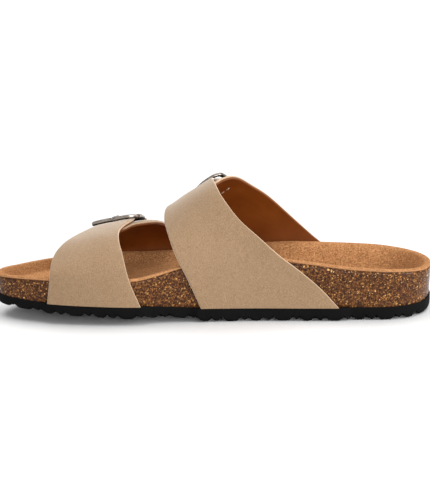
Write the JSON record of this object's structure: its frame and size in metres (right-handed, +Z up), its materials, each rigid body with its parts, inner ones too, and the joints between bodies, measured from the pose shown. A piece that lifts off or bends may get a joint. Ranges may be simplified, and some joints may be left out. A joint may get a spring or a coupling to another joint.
{
  "type": "footbed sandal",
  "caption": "Open footbed sandal for the right foot: moulded cork footbed with raised rim, ribbed foam outsole, nubuck straps over forefoot and instep, each closed by a metal buckle.",
  "frame": {"origin": "on the floor, under the middle of the sandal's length and width", "axes": "-X towards the toe, +X towards the heel, -Y towards the inner (medial) side, +Z up"},
  "size_m": [0.262, 0.0982, 0.0803],
  "materials": {
    "foam": "matt black foam",
    "cork": "fine cork granules under a thin sealing coat",
    "suede": "tan suede nap",
    "nubuck": "beige nubuck outside, smooth brown leather inside",
    "metal": "dark gunmetal"
  },
  "bodies": {
    "root": {"outsole": "foam", "cork_footbed": "cork", "footbed_lining": "suede", "front_strap_medial": "nubuck", "front_strap_lateral": "nubuck", "rear_strap_medial": "nubuck", "rear_strap_lateral": "nubuck", "front_buckle_frame": "metal", "front_buckle_prong": "metal", "rear_buckle_frame": "metal", "rear_buckle_prong": "metal"}
  },
  "joints": []
}
